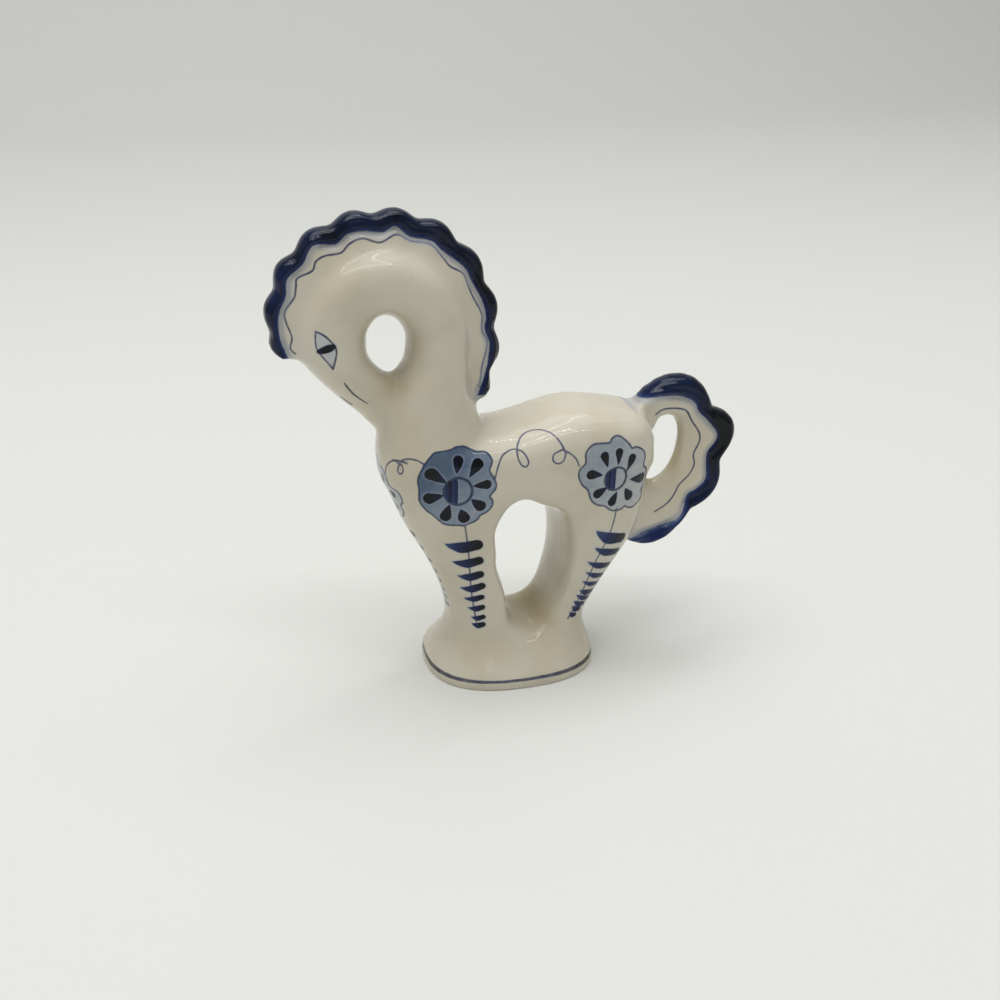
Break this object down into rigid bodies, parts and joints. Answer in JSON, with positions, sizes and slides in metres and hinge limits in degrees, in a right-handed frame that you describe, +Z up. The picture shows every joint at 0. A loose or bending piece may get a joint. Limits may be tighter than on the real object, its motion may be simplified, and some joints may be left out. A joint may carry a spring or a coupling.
{
  "type": "porcelain horse figurine",
  "caption": "Hollow blue-and-white porcelain horse on a flared foot, with a neck curled into a ring and a scalloped mane and tail.",
  "frame": {"origin": "middle of the figure's length and width, on the table under the foot", "axes": "+Z up, the horse faces -X, +Y across it; it is symmetric about the plane Y = 0"},
  "size_m": [0.1024, 0.0338, 0.1027],
  "materials": {
    "white_glaze": "glossy transparent glaze over warm white porcelain, painted in underglaze cobalt",
    "cobalt_glaze": "glossy glaze over dark cobalt blue"
  },
  "bodies": {
    "root": {"foot": "white_glaze", "front_legs": "white_glaze", "hind_legs": "white_glaze", "barrel": "white_glaze", "neck": "white_glaze", "head": "white_glaze", "mane_band": "white_glaze", "mane_rim": "cobalt_glaze", "tail_plume": "white_glaze", "tail_rim": "cobalt_glaze"}
  },
  "joints": []
}
